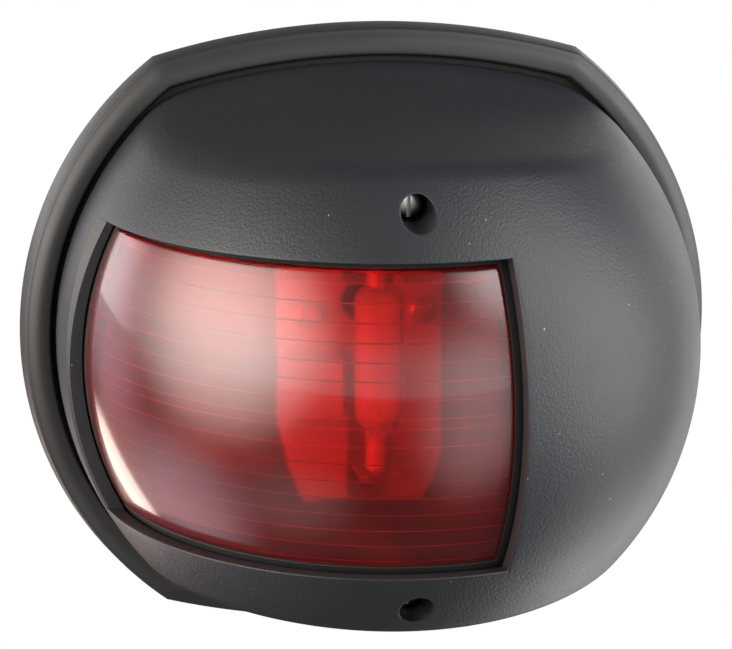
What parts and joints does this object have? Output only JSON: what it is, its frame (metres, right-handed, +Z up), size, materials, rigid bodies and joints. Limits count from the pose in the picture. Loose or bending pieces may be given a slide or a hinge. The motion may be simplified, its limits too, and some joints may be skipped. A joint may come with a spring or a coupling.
{
  "type": "port side navigation light",
  "caption": "Wall-mounted port side light: domed black cover with a red wrap-round lens over a coved mounting base, with a festoon lamp in spring contacts.",
  "frame": {"origin": "middle of the flat back face, where the base lies on the wall", "axes": "+Y into the wall, -Y the way the light looks, +Z up, -X towards the boat's bow"},
  "size_m": [0.14, 0.0813, 0.1232],
  "materials": {
    "black_abs": "fine-grained moulded ABS",
    "red_lens": "polished transparent polycarbonate, ribbed inside",
    "seal_rubber": "matt EPDM",
    "white_nylon": "satin moulded nylon",
    "grey_nylon": "satin moulded nylon",
    "brass": "stamped and turned brass",
    "stainless": "turned stainless steel",
    "nickel_cap": "nickel-plated brass",
    "bulb_glass": "clear drawn glass",
    "tungsten": "coiled tungsten wire",
    "red_pvc": "PVC insulation",
    "black_pvc": "PVC insulation"
  },
  "bodies": {
    "base": {"mounting_base": "black_abs", "cover_seal": "seal_rubber", "cable_grommet": "seal_rubber", "lamp_holder": "white_nylon", "holder_screw_left": "stainless", "holder_screw_right": "stainless", "contact_upper": "brass", "contact_lower": "brass", "contact_rivet_upper": "brass", "contact_rivet_lower": "brass", "terminal_block": "grey_nylon", "terminal_block_screw": "stainless", "terminal_sleeve_upper": "brass", "terminal_sleeve_lower": "brass", "lead_upper": "red_pvc", "lead_lower": "black_pvc", "threaded_insert_upper": "brass", "threaded_insert_lower": "brass"},
    "cover": {"front_cover": "black_abs", "lens": "red_lens", "lens_seal": "seal_rubber", "screw_seal_upper": "seal_rubber", "screw_seal_lower": "seal_rubber"},
    "screw_upper": {"cover_screw_upper": "stainless"},
    "screw_lower": {"cover_screw_lower": "stainless"},
    "bulb": {"bulb_glass": "bulb_glass", "bulb_cap_upper": "nickel_cap", "bulb_cap_lower": "nickel_cap", "bulb_filament": "tungsten"},
    "clamp_screw_upper": {"terminal_screw_upper": "stainless"},
    "clamp_screw_lower": {"terminal_screw_lower": "stainless"}
  },
  "joints": [
    {"name": "cover_lift_off", "type": "slide", "parent": "base", "child": "cover", "axis": [0, -1, 0], "range_m": [0, 0.05]},
    {"name": "cover_screw_upper_turn", "type": "hinge", "parent": "cover", "child": "screw_upper", "pos_m": [-0.0029, -0.0606, 0.0364], "axis": [0, -1, 0], "continuous": true},
    {"name": "cover_screw_lower_turn", "type": "hinge", "parent": "cover", "child": "screw_lower", "pos_m": [-0.0029, -0.0606, -0.0364], "axis": [0, -1, 0], "continuous": true},
    {"name": "bulb_pull_out", "type": "slide", "parent": "base", "child": "bulb", "axis": [0, -1, 0], "range_m": [0, 0.016]},
    {"name": "clamp_screw_upper_turn", "type": "hinge", "parent": "base", "child": "clamp_screw_upper", "pos_m": [0.028, -0.0125, 0.0075], "axis": [0, -1, 0], "continuous": true},
    {"name": "clamp_screw_lower_turn", "type": "hinge", "parent": "base", "child": "clamp_screw_lower", "pos_m": [0.028, -0.0125, -0.0035], "axis": [0, -1, 0], "continuous": true}
  ]
}
